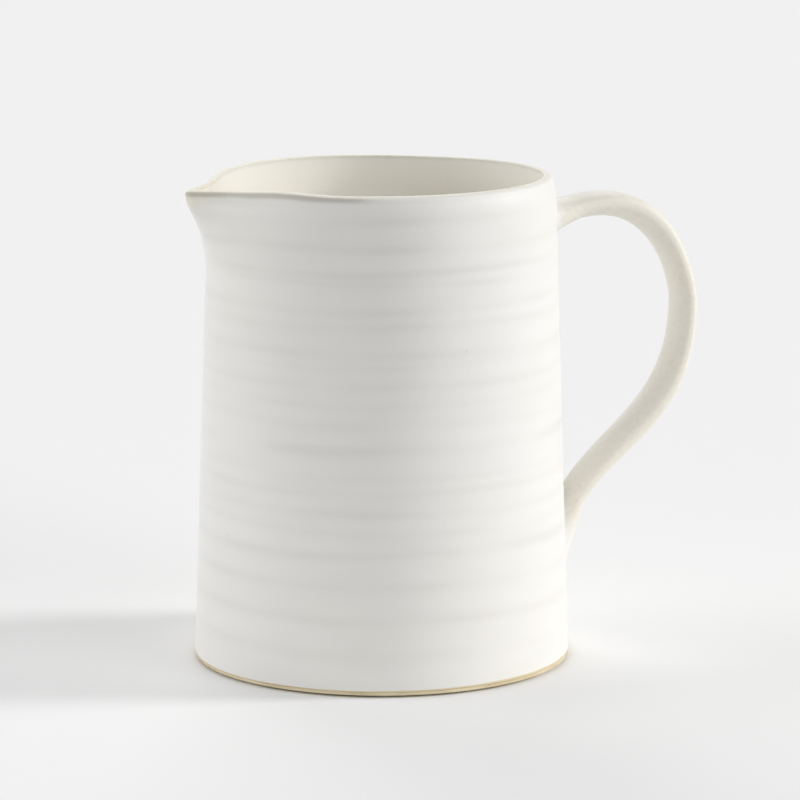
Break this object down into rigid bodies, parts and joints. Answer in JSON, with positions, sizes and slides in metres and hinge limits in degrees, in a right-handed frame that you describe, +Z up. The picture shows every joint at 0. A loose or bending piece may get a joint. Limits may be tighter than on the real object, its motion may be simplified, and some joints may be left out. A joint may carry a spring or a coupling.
{
  "type": "ceramic pitcher",
  "caption": "Straight-sided thrown stoneware pitcher with a rolled rim, a small pulled pouring lip and a tall strap handle, satin white glaze over a bare clay foot ring.",
  "frame": {"origin": "centre of the foot, on the plane of the surface the pitcher stands on", "axes": "+Z up, +X towards the handle, spout towards -X, XZ is the mirror plane"},
  "size_m": [0.2189, 0.1524, 0.197],
  "materials": {
    "white_glaze": "satin white stoneware glaze, thin and creamy on edges",
    "liner_glaze": "the same satin white glaze, inside",
    "bare_clay": "unglazed fired buff stoneware, dry and slightly gritty"
  },
  "bodies": {
    "root": {"foot_ring": "bare_clay", "floor": "liner_glaze", "wall": "white_glaze", "rim_and_spout": "white_glaze", "handle_strap": "white_glaze", "upper_handle_joint": "white_glaze", "lower_handle_joint": "white_glaze"}
  },
  "joints": []
}
